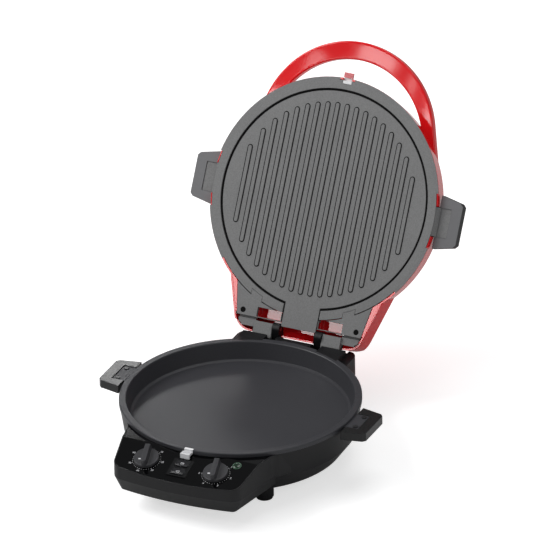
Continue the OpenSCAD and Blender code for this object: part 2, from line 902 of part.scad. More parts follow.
module hinge_housing() {
    color("#232325") base_place() difference() {
        union() {
            difference() {
                union() {
                    translate([0, 0, foot_h]) linear_extrude(hinge_mid_top - foot_h) hinge_plan(0);
                    translate([0, 0, hinge_mid_top]) linear_extrude(hinge_end_top - hinge_mid_top)
                        difference() {
                            hinge_plan(0);
                            translate([-hinge_half_w + hinge_end_w, 0])
                                square([2 * (hinge_half_w - hinge_end_w), 300]);
                        }
                }
                translate([0, 0, floor_top]) linear_extrude(hinge_mid_top - floor_top - hinge_wall)
                    hinge_plan(hinge_wall);
            }
            rotate([90, 0, 90]) translate([0, 0, -sill_half]) linear_extrude(2 * sill_half) polygon([
                [pan_r + 1.2, hinge_mid_top - 0.1], [pan_r + 1.2, rim_z - 1], [pan_r + 8, rim_z - 1],
                [rear_y - 0.1, hinge_mid_top + 3], [rear_y - 0.1, hinge_mid_top - 0.1]
            ]);
            both_sides() {
                box(arm_in - loose - knuckle_w, arm_in - loose, hinge_y - knuckle_r, hinge_y + knuckle_r,
                    hinge_mid_top - 0.1, hinge_z);
                translate([arm_in - loose - knuckle_w, hinge_y, hinge_z]) rotate([0, 90, 0])
                    bar(2 * knuckle_r, 0, knuckle_w);
                difference() {
                    box(pan_tab_in, pan_tab_out, 100, pan_r + pan_tab_reach,
                        hinge_mid_top - 0.1, rim_z - 0.5);
                    disc(pan_tab_r, 0, rim_z + cut);
                    disc(pan_r + rim_clear, 0, base_top + seat);
                }
                translate([rear_foot_x, rear_foot_y, 0]) bar(boss_d, floor_top - 0.1, floor_top + boss_h);
            }
        }
        rotate_extrude($fn = 120) polygon([
            [0, foot_h - cut], [under_r + slip, foot_h - cut], [under_r + slip, foot_h],
            [band_r + slip, band_z], [base_top_r + slip, base_top + slip], [0, base_top + slip]
        ]);
        foot_places() bar(screw_d + 2 * pin_fit, foot_h - cut, floor_top + screw_reach);
        both_sides() translate([arm_in - loose - knuckle_w - cut, hinge_y, hinge_z]) rotate([0, 90, 0])
            bar(hinge_pin_d + 2 * pin_fit, 0, knuckle_w + 2 * cut);
        translate([0, rear_y + cut, gland_z]) rotate([90, 0, 0])
            bar(gland_d + 2 * pin_fit, 0, hinge_wall + 2 * cut);
    }
}

module hinge_pins() {
    color("#c4c6c9") base_place() both_sides()
        translate([arm_in - loose - knuckle_w, hinge_y, hinge_z]) rotate([0, 90, 0])
            bar(hinge_pin_d, 0, arm_out - arm_in + loose + knuckle_w - 3);
}

gland_z = 36;
gland_d = 13;
gland_flange_d = 18;
gland_bore = 7.2;
module cord_gland() {
    color("#151516") base_place() translate([0, rear_y, gland_z]) rotate([90, 0, 0]) difference() {
        union() {
            bar(gland_d, -3, 8);
            bar(gland_flange_d, -3, 0);
            bar(gland_flange_d, hinge_wall, hinge_wall + 2);
        }
        bar(gland_bore, -3 - cut, 8 + cut);
    }
}

// Plan of the shell's neck, moved in by d: two sides that lean out and two round corners
neck_run = 76;
function neck_side(d, side) = [
    side * (neck_half - neck_corner + (neck_corner - d) * cos(neck_lean) + neck_run * sin(neck_lean)),
    neck_rear - neck_corner + (neck_corner - d) * sin(neck_lean) - neck_run * cos(neck_lean)
];
module neck_plan(d) {
    polygon(concat(
        [neck_side(d, 1)],
        arc(neck_half - neck_corner, neck_rear - neck_corner, neck_corner - d, neck_lean, 90, 6),
        arc(-neck_half + neck_corner, neck_rear - neck_corner, neck_corner - d, 90, 180 - neck_lean, 6),
        [neck_side(d, -1)]
    ));
}

// Endless slab whose top edge is bevelled, reaching dist along X
module bevel_slab(dist, z0, top) {
    rotate([90, 0, 0]) linear_extrude(700, center = true) polygon([
        [-400, z0], [dist, z0], [dist, shell_side - 2], [dist - neck_bevel, top], [-400, top]
    ]);
}

// The neck's body with every face moved in by d
neck_bevel = 9;
module neck_solid(d, z0) {
    top = shell_side + 6 - d;
    reach = neck_corner - d;
    cx = neck_half - neck_corner;
    cy = neck_rear - neck_corner;
    intersection() {
        translate([0, 0, z0]) linear_extrude(top - z0) neck_plan(d);
        translate([0, cy, 0]) rotate([0, 0, 90]) bevel_slab(reach, z0 - cut, top + cut);
        translate([cx, cy, 0]) rotate([0, 0, neck_lean]) bevel_slab(reach, z0 - cut, top + cut);
        translate([-cx, cy, 0]) rotate([0, 0, 180 - neck_lean]) bevel_slab(reach, z0 - cut, top + cut);
    }
}

// The shell's body with every face moved in by d
module shell_solid(d, z0) {
    r1 = shell_r - shell_draft - d;
    shoulder_h = shell_h - shell_side - 1 - d;
    translate([0, lid_y, 0]) rotate_extrude($fn = 120) polygon(concat(
        [[0, z0], [shell_r - d, z0]],
        [for (t = [0 : 15 : 90]) [r1 - shoulder_w * (1 - cos(t)), shell_side + shoulder_h * sin(t)]],
        [[r1 - 2 * shoulder_w, shell_h - d], [0, shell_h - d]]
    ));
    neck_solid(d, z0);
}

// Narrow flange in the neck that closes the gap beside the lid frame
module neck_lip() {
    translate([0, 0, lip_w]) linear_extrude(lip_t) difference() {
        intersection() {
            neck_plan(shell_wall - 1);
            polygon([[frame_half + 0.5 + loose, -lip_v], [frame_half + side_out + loose, -side_v],
                     [frame_half + horn_out + loose, -horn_v], [200, -horn_v], [200, -lip_v]]);
        }
        translate([0, lid_y]) circle(r = pan_r + shell_gap, $fn = 120);
    }
}

// Pocket behind a window of the lid frame: a web on two ribs from the shell's roof
module window_back() {
    box(window_in - 2, window_out + 3, -window_front - 2.5, -back_v, back_w, back_w + shell_wall);
    for (x = [window_in - 2, window_out + 0.5])
        box(x, x + shell_wall, -window_front - 2.5, -back_v, back_rib_w, shell_side + 4);
}

front_screws = [for (s = [-1, 1]) [s * front_screw_r * cos(front_screw_angle),
                                              -hinge_y - front_screw_r * sin(front_screw_angle)]];
module frame_screw_places() {
    for (p = concat([[frame_screw_x, -frame_screw_v], [-frame_screw_x, -frame_screw_v]],
                    front_screws))
        translate([p[0], p[1], 0]) children();
}

handle_c = pan_r + handle_reach - handle_r;
handle_in_c = pan_r + handle_reach - handle_w - handle_in_r;

// Half loop: a circle that runs out into straight legs, from the plate's middle
module loop_plan(r, c, end) {
    tx = r * cos(handle_leg_angle);
    ty = c + r * sin(handle_leg_angle);
    foot_x = tx + (ty - end) * tan(handle_leg_angle);
    translate([0, -c]) circle(r = r, $fn = 120);
    polygon([[-tx, -ty], [tx, -ty], [foot_x, -end], [-foot_x, -end]]);
}

// The band of the handle, made wider by d on every side
module handle_band(d) {
    difference() {
        intersection() {
            loop_plan(handle_r + d, handle_c, leg_end - d);
            translate([-200, -300]) square([400, 300 - leg_end + d]);
        }
        loop_plan(handle_in_r - d, handle_in_c, leg_end - d - cut);
    }
}

// Channel in the shell's shoulder that takes the handle's legs, made wider by d
module leg_channel(d) {
    translate([0, lid_y, handle_w0 - d]) linear_extrude(60) handle_band(slip + d);
}

// Middle of a handle leg at a distance v in front of the plate's middle
function leg_x(v) = ((handle_r + handle_in_r) * cos(handle_leg_angle)
    + (handle_c + handle_r * sin(handle_leg_angle) - v) * tan(handle_leg_angle)
    + (handle_in_c + handle_in_r * sin(handle_leg_angle) - v) * tan(handle_leg_angle)) / 2;

leg_screw_v = [leg_end + 10, leg_end + 22];
module handle_screw_places() {
    both_sides() for (v = leg_screw_v) translate([leg_x(v), lid_y - v, 0]) children();
}

module lid_shell() {
    color("#d81f26") lid_place() difference() {
        union() {
            difference() {
                shell_solid(0, 0.4);
                difference() {
                    shell_solid(shell_wall, -cut);
                    leg_channel(shell_wall);
                }
            }
            for (x = [-frame_screw_x, frame_screw_x]) translate([x, -frame_screw_v, 0])
                bar(boss_lid_d, ring_back, shell_side + 6.5 - shell_wall);
            for (p = front_screws) translate([p[0], p[1], 0])
                bar(boss_lid_d, ring_back, ring_back + screw_reach + 8);
            both_sides() neck_lip();
            both_sides() window_back();
        }
        leg_channel(0);
        frame_screw_places() bar(screw_d + 2 * pin_fit, ring_back - cut, ring_back + screw_reach);
        handle_screw_places() bar(screw_d + loose, 0, 60);
        both_sides() box(arm_in - knuckle_w - 3, arm_out + 3, -back_v + 0.5, 30, -cut, 20);
        box(-200, 200, -2, 30, -cut, 5);
        translate([0, lid_y, 0]) box(-latch_w / 2 - loose, latch_w / 2 + loose, -shell_r - 5,
            -pan_r + 10, -cut, plate_t + 0.6);
        both_sides() translate([0, lid_y, 0]) difference() {
            box(pan_r - 5, pan_r + 20, -grip_inner_half - 1, grip_inner_half + 1,
                -cut, plate_grip_w + grip_t + loose);
            difference() {
                disc(grip_strip_r, -2 * cut, 60);
                box(0, 200, -tab_half - 1, tab_half + 1, -3 * cut, 61);
            }
        }
    }
}

module lid_handle() {
    color("#e0242b") lid_place() difference() {
        translate([0, lid_y, handle_w0]) linear_extrude(handle_t) handle_band(0);
        handle_screw_places() bar(screw_d + 2 * pin_fit, handle_w0 - cut, handle_w0 + 9);
    }
}

module handle_screws() {
    color("#b9bcc0") lid_place() handle_screw_places()
        screw(handle_w0 - shell_wall - screw_head_h, handle_w0 + 8);
}

module frame_plan() {
    difference() {
        polygon([
            [frame_half, -frame_rear], [frame_half + side_out, -side_v], [frame_half + horn_out, -horn_v],
            [0, -110], [-frame_half - horn_out, -horn_v], [-frame_half - side_out, -side_v],
            [-frame_half, -frame_rear]
        ]);
        translate([0, lid_y]) difference() {
            circle(r = pan_r + frame_gap, $fn = 120);
            for (s = [-1, 1]) scale([s, 1]) translate([hook_in + loose, 0])
                square([hook_out - hook_in - 2 * loose, 200]);
            circle(r = hook_r + loose, $fn = 120);
        }
        translate([0, lid_y]) circle(r = hook_r + loose, $fn = 120);
        translate([-tongue_half - frame_gap - 0.5, -60]) square([2 * (tongue_half + frame_gap + 0.5), 60]);
        for (s = [-1, 1]) scale([s, 1]) translate([window_in, -window_front])
            square([window_out - window_in, window_front - window_rear]);
    }
}

module lid_frame() {
    color("#6b6b6b") lid_place() difference() {
        union() {
            linear_extrude(frame_t) frame_plan();
            translate([0, 0, frame_t - 0.1]) linear_extrude(ring_back - frame_t + 0.1) difference() {
                intersection() {
                    frame_plan();
                    translate([0, lid_y]) circle(r = pan_r + 3, $fn = 120);
                }
                translate([0, lid_y]) circle(r = hook_r, $fn = 120);
            }
            translate([0, lid_y, seat_w]) difference() {
                disc(ring_out_r, 0, frame_ring_t);
                disc(frame_ring_in, -cut, frame_ring_t + cut);
            }
        }
        frame_screw_places() bar(screw_d + loose, -cut, ring_back + cut);
        for (x = [-frame_screw_x, frame_screw_x]) translate([x, -frame_screw_v, 0])
            bar(screw_head_d + 2 * slip, -cut, 1.4);
        for (p = front_screws) translate([p[0], p[1], 0])
            bar(screw_head_d + 2 * slip, 0, ring_back - 1.4);
        translate([0, lid_y, 0]) latch_space();
        both_sides() translate([0, lid_y, 0])
            box(pan_r - 4.5, pan_r + 20, -tab_half - 1, tab_half + 1, -cut, ring_back + cut);
    }
}

module latch_space() {
    box(-latch_w / 2 - loose, latch_w / 2 + loose, -shell_r - 5, -pan_r + notch_depth + loose,
        -cut, plate_t + 0.6);
}

module frame_screws() {
    color("#3a3a3c") lid_place() {
        for (x = [-frame_screw_x, frame_screw_x]) translate([x, -frame_screw_v, 0]) {
            bar(screw_head_d, 0.2, 1.4);
            bar(screw_d, 1.4, ring_back + screw_reach - cut);
        }
        for (p = front_screws) translate([p[0], p[1], 0]) {
            bar(screw_head_d, seat_w + 0.1, ring_back - 1.4);
            bar(screw_d, ring_back - 1.4, ring_back + screw_reach - cut);
        }
    }
}

module hinge_arms() {
    color("#6b6b6b") lid_place() both_sides() difference() {
        union() {
            box(arm_in, arm_out, -5, arm_back, 0, 12);
            box(arm_out - 0.1, frame_half - 8, -8.6, 4, frame_t, frame_t + flange_t);
            box(window_out + 1.5, frame_half - 1, -26, -8.5, frame_t, frame_t + flange_t);
            translate([frame_half - 9.5, -5, frame_t]) bar(14, 0, flange_t);
        }
        translate([arm_in - cut, 0, hinge_back]) rotate([0, 90, 0])
            bar(hinge_pin_d + 2 * run_fit, 0, arm_out - arm_in - 1);
        box(arm_out + 0.3, frame_half + cut, -frame_rear, -frame_rear + 3.2, 0, frame_t + 3.2);
        frame_screw_places() bar(screw_d + loose, 0, 30);
    }
}

rib_top = 0.5;
plate_tab_w = plate_grip_w + tab_recess;
tongue_groove_w = 2;
tongue_groove_y = lid_y + sqrt(pow(groove_r, 2) - pow(tongue_half, 2)) - 0.8;
module rib_row() {
    for (i = [0 : rib_count - 1]) {
        x = (i - (rib_count - 1) / 2) * rib_pitch;
        half = sqrt(pow(rib_end_r, 2) - pow(x, 2)) - rib_w / 2;
        translate([x - rib_w / 2, -half, 0]) cube([rib_w, 2 * half, rib_h]);
        for (s = [-1, 1]) translate([x, s * half, 0]) cylinder(d = rib_w, h = rib_h, $fn = 16);
    }
}

module grill_plate() {
    color("#6b6b6b") lid_place() difference() {
        union() {
            translate([0, lid_y, 0]) {
                difference() {
                    rotate_extrude($fn = 120) polygon([
                        [0, 0], [pan_r, 0], [pan_r, 1.5], [pan_r - 1.2, plate_t], [0, plate_t]
                    ]);
                    disc(groove_r - groove_w / 2, -cut, rib_h - rib_top);
                    disc(groove_r - 3, plate_t - 1.5, plate_t + cut);
                }
                disc(groove_r - 4, plate_t - 2, plate_back);
                translate([0, 0, -rib_top]) rib_row();
                both_sides() difference() {
                    translate([0, tab_half, 0]) rotate([90, 0, 0]) linear_extrude(2 * tab_half) polygon([
                        [pan_r - 4, 1.2], [pan_r - 0.5, 1], [pan_r + 4, plate_grip_w - seat],
                        [pan_r + 0.8, plate_grip_w - seat], [pan_r + 0.8, plate_tab_w],
                        [pan_r + tab_len, plate_tab_w], [pan_r + tab_len, plate_tab_w + tab_t],
                        [pan_r - 4, plate_tab_w + tab_t]
                    ]);
                    rivet_places() bar(rivet_d + 2 * pin_fit, 0, plate_grip_w + grip_t);
                }
            }
            box(-tongue_half, tongue_half, -45, -tongue_end, rib_h - rib_top, plate_t - 1);
        }
        translate([0, lid_y, 0]) {
            difference() {
                disc(groove_r + groove_w / 2, -cut, groove_h);
                disc(groove_r - groove_w / 2, -2 * cut, groove_h + cut);
                box(-tongue_half, tongue_half, 0, pan_r, -2 * cut, groove_h + cut);
            }
            latch_notch(-cut, plate_t + cut);
            hook_notches(-cut, plate_t + cut);
        }
        both_sides() box(tongue_half, tongue_half + tongue_groove_w, tongue_groove_y, -10, -cut, groove_h);
        box(-tongue_half - 0.1, tongue_half + 0.1, -40, -10, -cut, rib_h - rib_top);
    }
}

module plate_grips() {
    color("#2a2a2c") lid_place() translate([0, lid_y, 0])
        grip_pair(plate_grip_w, plate_grip_w - cut, plate_tab_w + tab_t);
}

module plate_rivets() {
    grip_back = plate_grip_w + grip_t;
    color("#c4c6c9") lid_place() translate([0, lid_y, 0]) rivet_pair(plate_tab_w, grip_back, [grip_back]);
}

module lid_latch() {
    color("#f0f0f2") lid_place() translate([0, lid_y, 0]) {
        box(-latch_w / 2, latch_w / 2, -pan_r - tongue_out + 4, -pan_r + notch_depth - loose,
            plate_t - 1.6, plate_t);
        box(-latch_w / 2, latch_w / 2, -pan_r + loose, -pan_r + notch_depth - loose, seat, plate_t - 1.6);
    }
}

module lid_latch_button() {
    color("#e8888d") lid_place() translate([0, lid_y, 0]) mirror([0, 0, 1])
        latch_button(-plate_t + 1.6, -0.6, -shell_r - 0.6);
}

module upper_reflector() {
    color("#b4b7ba") lid_place() translate([0, lid_y, 0]) difference() {
        rotate_extrude($fn = 120) polygon([
            [0, dish_w], [dish_r, dish_w], [frame_ring_in - 5, ring_back],
            [frame_ring_in + ring_flange, ring_back], [frame_ring_in + ring_flange, ring_back + reflector_t],
            [frame_ring_in - 4.4, ring_back + reflector_t],
            [dish_r + 0.5, dish_w + reflector_t], [0, dish_w + reflector_t]
        ]);
        terminal_places() bar(heater_d + 3.5, 0, 60);
    }
}

upper_heater_w = plate_back + seat + heater_d / 2;
module upper_element() {
    color("#7d7f82") lid_place() translate([0, lid_y, 0]) heating_ring(upper_heater_w, dish_w + 8);
}

module upper_clips() {
    color("#b9bcc0") lid_place() translate([0, lid_y, 0]) clip_posts(dish_w, upper_heater_w);
}

module upper_cutout() {
    color("#d8d4c8") lid_place() translate([40, lid_y - 30, 0])
        bar(cutout_d, dish_w + reflector_t, dish_w + reflector_t + cutout_h);
}

base_housing();
bottom_cover();
cover_screws();
feet();
foot_pads();
foot_screws();
control_panel();
timer_unit();
timer_shaft();
timer_knob();
thermostat_unit();
thermostat_shaft();
thermostat_knob();
shaft_nuts();
switch_body();
upper_heat_rocker();
lower_heat_rocker();
power_lamp();
lamp_holder();
pan_latch();
pan_latch_button();
pan();
pan_grips();
pan_rivets();
lower_reflector();
lower_element();
element_clips();
lower_cutout();
terminal_block();
hinge_housing();
hinge_pins();
cord_gland();
lid_shell();
lid_handle();
handle_screws();
lid_frame();
frame_screws();
hinge_arms();
grill_plate();
plate_grips();
plate_rivets();
lid_latch();
lid_latch_button();
upper_reflector();
upper_element();
upper_clips();
upper_cutout();
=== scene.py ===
import math

import bmesh
import bpy
import numpy as np
from mathutils import Matrix, Vector


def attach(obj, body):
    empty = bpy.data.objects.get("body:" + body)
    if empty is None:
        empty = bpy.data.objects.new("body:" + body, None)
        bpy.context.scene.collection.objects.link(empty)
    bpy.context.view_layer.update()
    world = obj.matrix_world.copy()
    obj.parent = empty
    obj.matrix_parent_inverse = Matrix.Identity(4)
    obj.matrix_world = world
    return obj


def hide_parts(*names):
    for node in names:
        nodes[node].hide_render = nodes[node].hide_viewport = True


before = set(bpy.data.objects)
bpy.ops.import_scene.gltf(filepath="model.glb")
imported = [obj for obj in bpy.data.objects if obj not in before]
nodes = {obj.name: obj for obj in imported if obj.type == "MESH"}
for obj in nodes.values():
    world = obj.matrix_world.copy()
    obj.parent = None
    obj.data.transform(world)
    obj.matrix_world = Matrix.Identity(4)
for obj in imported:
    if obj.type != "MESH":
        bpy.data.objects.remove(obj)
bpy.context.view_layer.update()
scene = bpy.context.scene
scene.view_settings.view_transform = "Standard"

# Camera
# Stands on the lamp's side of the controls and looks down on them, far off, as a long lens does.
# Its heading, height and roll were fitted to the rim, the plate and the chin in the photo.
heading = math.radians(25.66)
height_angle = math.radians(27.99)
roll = math.radians(-1.17)
right = np.array([math.cos(heading), math.sin(heading), 0.0])
ahead = np.array([-math.sin(heading) * math.cos(height_angle),
                  math.cos(heading) * math.cos(height_angle), -math.sin(height_angle)])
above = np.cross(right, ahead)
camera_right = math.cos(roll) * right + math.sin(roll) * above
camera_up = math.cos(roll) * above - math.sin(roll) * right
picture_size = 554
rim_seen = (240.49, 395.57)
rim_centre = np.array([0.0, -0.100372, 0.090])
pixels_per_metre = 738.0
aim = (rim_centre + camera_right * (picture_size / 2 - rim_seen[0]) / pixels_per_metre
       + camera_up * (rim_seen[1] - picture_size / 2) / pixels_per_metre)
distance = 20.0
camera_data = bpy.data.cameras.new("camera")
camera_data.sensor_width = 36.0
camera_data.lens = camera_data.sensor_width * distance * pixels_per_metre / picture_size
camera_data.clip_start = 1.0
camera_data.clip_end = 100.0
camera = bpy.data.objects.new("camera", camera_data)
place = np.eye(4)
place[:3, 0] = camera_right
place[:3, 1] = camera_up
place[:3, 2] = -ahead
place[:3, 3] = aim - ahead * distance
camera.matrix_world = Matrix(place.tolist())
scene.collection.objects.link(camera)
scene.camera = camera


# Daylight and floor
# A white table under soft studio light. The camera sees the surroundings as plain white, and the
# table keeps the object's shadow.
def to_linear(code):
    """Linear colour of an sRGB hex value, by the sRGB curve."""
    parts = [int(code[i:i + 2], 16) / 255 for i in (1, 3, 5)]
    return [c / 12.92 if c <= 0.04045 else ((c + 0.055) / 1.055) ** 2.4 for c in parts] + [1.0]


def add_node(tree, kind, settings=None, inputs=None):
    """Adds one node, sets its properties, and sets or links its inputs."""
    node = tree.nodes.new(kind)
    for name, value in (settings or {}).items():
        setattr(node, name, value)
    for name, value in (inputs or {}).items():
        if isinstance(value, bpy.types.NodeSocket):
            tree.links.new(value, node.inputs[name])
        else:
            node.inputs[name].default_value = value
    return node


def new_material(name):
    """A material with an empty node tree, and that tree."""
    material = bpy.data.materials.new(name)
    material.use_nodes = True
    material.node_tree.nodes.clear()
    return material, material.node_tree


world = bpy.data.worlds.new("studio")
world.use_nodes = True
scene.world = world
tree = world.node_tree
tree.nodes.clear()
rays = add_node(tree, "ShaderNodeLightPath")
seen = add_node(tree, "ShaderNodeMath", {"operation": "MAXIMUM"},
                {0: rays.outputs["Is Camera Ray"], 1: rays.outputs["Is Transmission Ray"]})
room = add_node(tree, "ShaderNodeBackground", None, {"Color": to_linear("#eef0f2"), "Strength": 0.25})
white = add_node(tree, "ShaderNodeBackground", None, {"Color": (1.0, 1.0, 1.0, 1.0), "Strength": 1.0})
mixed = add_node(tree, "ShaderNodeMixShader", None,
                 {0: seen.outputs[0], 1: room.outputs[0], 2: white.outputs[0]})
add_node(tree, "ShaderNodeOutputWorld", None, {"Surface": mixed.outputs[0]})

# The table is a matt white that glows for the camera alone, so it runs into the white behind it
table_top, tree = new_material("white table")
rays = add_node(tree, "ShaderNodeLightPath")
matt = add_node(tree, "ShaderNodeBsdfDiffuse", None, {"Color": (0.8, 0.8, 0.8, 1.0)})
glow = add_node(tree, "ShaderNodeEmission", None, {"Color": (1.0, 1.0, 1.0, 1.0), "Strength": 0.62})
both = add_node(tree, "ShaderNodeAddShader", None, {0: matt.outputs[0], 1: glow.outputs[0]})
shown = add_node(tree, "ShaderNodeMixShader", None,
                 {0: rays.outputs["Is Camera Ray"], 1: matt.outputs[0], 2: both.outputs[0]})
add_node(tree, "ShaderNodeOutputMaterial", None, {"Surface": shown.outputs[0]})
table_mesh = bpy.data.meshes.new("table")
table_half = 12.0
table_mesh.from_pydata([(-table_half, -table_half, 0), (table_half, -table_half, 0),
                        (table_half, table_half, 0), (-table_half, table_half, 0)], [], [(0, 1, 2, 3)])
table_mesh.materials.append(table_top)
table = bpy.data.objects.new("table", table_mesh)
scene.collection.objects.link(table)


def add_lamp(name, width, length, power, at, to):
    """A rectangular lamp of the given width and length at one point, turned to another."""
    data = bpy.data.lights.new(name, "AREA")
    data.shape = "RECTANGLE"
    data.size = width
    data.size_y = length
    data.energy = power
    lamp = bpy.data.objects.new(name, data)
    lamp.matrix_world = (Matrix.Translation(at)
                         @ (Vector(to) - Vector(at)).to_track_quat("-Z", "Y").to_matrix().to_4x4())
    scene.collection.objects.link(lamp)


add_lamp("key", 1.6, 1.6, power=60, at=(-2.4, -0.9, 2.6), to=(0, 0, 0.15))
add_lamp("fill", 2.0, 2.0, power=10, at=(2.2, -1.4, 1.6), to=(0, 0, 0.15))
add_lamp("top", 1.6, 1.6, power=16, at=(0.2, 0.6, 2.6), to=(0, 0, 0.15))
# Small soft boxes seen in the gloss: one by the hinge, one in the left grip, and narrow ones for the
# bands across the handle. The handle's face mirrors the camera's line of sight to the direction below.
add_lamp("hinge box", 0.36, 0.20, power=1.7, at=(-0.574, -1.105, 0.808), to=(0, 0.101, 0.126))
add_lamp("left box", 0.16, 0.16, power=1.2, at=(-0.81, 1.14, 0.79), to=(-0.24, -0.06, 0.085))
mirrored = np.array([-0.382, -0.804, 0.455])
face_foot = np.array([0, 0.1054, 0.0834])
up_the_face = np.array([0, 0.5, 0.866])
strip_distance = 1.5
# Each row: across the face and up it from its foot, then the strip's width, length and brightness. Its
# power is the brightness times pi times its area.
for u, v, width, length, bright in ((-0.138, 0.280, 0.050, 0.120, 9.0), (-0.071, 0.360, 0.022, 0.090, 5.0),
                                    (0.026, 0.390, 0.056, 0.080, 7.0), (0.087, 0.360, 0.012, 0.080, 4.5),
                                    (0.119, 0.300, 0.014, 0.200, 10.0)):
    spot = np.array([u, 0, 0]) + face_foot + v * up_the_face
    add_lamp("handle strip", width, length, bright * math.pi * width * length,
             spot + strip_distance * mirrored, spot)


# Black moulded shell
# The base with its chin, the hinge housing and the feet: heat-resistant PBT, injection moulded. The
# mould was lightly blasted, which gives a satin black with a very fine grain and softly rounded edges.
def two_tones(tree, colour, low, high, factor):
    """Colour output that goes from low to high times the given colour, by the factor. The mix node's
    colours are its inputs 6 and 7 and its output 2."""
    base = to_linear(colour)[:3]
    mix = add_node(tree, "ShaderNodeMix", {"data_type": "RGBA"},
                   {0: factor, 6: [c * low for c in base] + [1.0], 7: [c * high for c in base] + [1.0]})
    return mix.outputs[2]


def moulded(name, colour, roughness, grain, depth, edge=0.0008, gloss=0.5, coat=0.0):
    """Moulded plastic: a colour that drifts a little over some centimetres, a fine grain of the given
    size and depth in metres, and edges that catch the light as if rounded to the given radius."""
    material, tree = new_material(name)
    drift_size = 0.11
    where = add_node(tree, "ShaderNodeTexCoord")
    drift = add_node(tree, "ShaderNodeTexNoise", None,
                     {"Vector": where.outputs["Object"], "Scale": 1 / drift_size, "Detail": 3.0})
    fine = add_node(tree, "ShaderNodeTexNoise", None,
                    {"Vector": where.outputs["Object"], "Scale": 1 / grain, "Detail": 2.0})
    rough = add_node(tree, "ShaderNodeMapRange", None,
                     {"Value": fine.outputs["Fac"], "To Min": roughness * 0.75, "To Max": roughness * 1.25})
    rounded = add_node(tree, "ShaderNodeBevel", {"samples": 4}, {"Radius": edge})
    bump = add_node(tree, "ShaderNodeBump", None, {"Height": fine.outputs["Fac"], "Strength": 0.5,
                                                   "Distance": depth, "Normal": rounded.outputs[0]})
    shader = add_node(tree, "ShaderNodeBsdfPrincipled", None,
                      {"Base Color": two_tones(tree, colour, 0.88, 1.14, drift.outputs["Fac"]),
                       "Roughness": rough.outputs[0], "Normal": bump.outputs[0], "IOR": 1.5,
                       "Specular IOR Level": gloss, "Coat Weight": coat, "Coat Roughness": 0.04})
    add_node(tree, "ShaderNodeOutputMaterial", None, {"Surface": shader.outputs[0]})
    return material


def dress(material, *names):
    """Gives CAD nodes one material in all their slots."""
    for name in names:
        mesh = nodes[name].data
        if not mesh.materials:
            mesh.materials.append(material)
        for i in range(len(mesh.materials)):
            mesh.materials[i] = material


# Satin black with soft highlights along its edges
dress(moulded("satin black PBT", "#121214", roughness=0.40, grain=0.0006, depth=0.00003, edge=0.0012,
              gloss=0.35), "base_housing", "hinge_housing", "feet")

# Control fascia
# A plate of piano-black ABS snapped into the chin, polished in the mould, so it mirrors the room. The
# scales of the two dials are pad printed on it in pale grey: 0 to 60 minutes, and heat 0 to 5.
dress(moulded("polished black ABS", "#030304", roughness=0.08, grain=0.004, depth=0.000002, edge=0.0006,
              gloss=0.3), "control_panel")
# Matt, nearly white, as ink dries
print_ink = moulded("pale grey printing ink", "#dcdcdf", roughness=0.45, grain=0.0004, depth=0.00001,
                    edge=0.0001)
fascia_slope = math.radians(17.7)
knob_line = (-0.288072, 0.075)
dial_x = 0.0515
knob_turn = 12
ink_lift = 0.00002
ink_thick = 0.00006
long_tick, long_tick_r = 0.0018, 0.0194
short_tick, short_tick_r = 0.0010, 0.0191
tick_width = 0.0005
number_size = 0.0042
number_r = 0.0231


def on_fascia(points):
    """World places of points given as (across, up the slope, out of the fascia) from the knobs' line:
    the last two are turned by the slope."""
    x, y, z = np.moveaxis(np.asarray(points, dtype=float), -1, 0)
    c, s = math.cos(fascia_slope), math.sin(fascia_slope)
    return np.stack([x, knob_line[0] + y * c - z * s, knob_line[1] + y * s + z * c], axis=-1)


def slabs(boxes):
    """Corners and faces of flat boxes, one a row: centre x, y, z, length, width, thickness and turn in
    degrees. A corner is the centre plus or minus half of each size, turned in the plane."""
    boxes = np.asarray(boxes, dtype=float)
    signs = np.array([(x, y, z) for z in (-1, 1) for y in (-1, 1) for x in (-1, 1)]) / 2
    local = boxes[:, None, 3:6] * signs
    turn = np.radians(boxes[:, 6])[:, None]
    x = local[..., 0] * np.cos(turn) - local[..., 1] * np.sin(turn)
    y = local[..., 0] * np.sin(turn) + local[..., 1] * np.cos(turn)
    corners = np.stack([x, y, local[..., 2]], axis=-1) + boxes[:, None, 0:3]
    sides = np.array([(0, 1, 3, 2), (4, 6, 7, 5), (0, 4, 5, 1), (2, 3, 7, 6), (0, 2, 6, 4), (1, 5, 7, 3)])
    faces = (np.arange(len(boxes))[:, None, None] * 8 + sides).reshape(-1, 4)
    return corners, faces


def add_object(mesh, material, body):
    """Object of the mesh's name with one material, on a body, with its colour slot."""
    mesh.materials.append(material)
    piece = bpy.data.objects.new(mesh.name, mesh)
    scene.collection.objects.link(piece)
    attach(piece, body)
    return piece


def number_mesh(word):
    """Corners and faces of a number, raised a little, with its middle at zero."""
    curve = bpy.data.curves.new("number", "FONT")
    curve.body = word
    curve.size = number_size
    curve.extrude = ink_thick / 2
    curve.align_x = "CENTER"
    curve.align_y = "CENTER"
    curve.resolution_u = 3
    holder = bpy.data.objects.new("number", curve)
    shape = bpy.data.meshes.new_from_object(holder)
    points = np.zeros(len(shape.vertices) * 3)
    shape.vertices.foreach_get("co", points)
    faces = [list(polygon.vertices) for polygon in shape.polygons]
    bpy.data.objects.remove(holder)
    bpy.data.curves.remove(curve)
    bpy.data.meshes.remove(shape)
    return points.reshape(-1, 3), faces


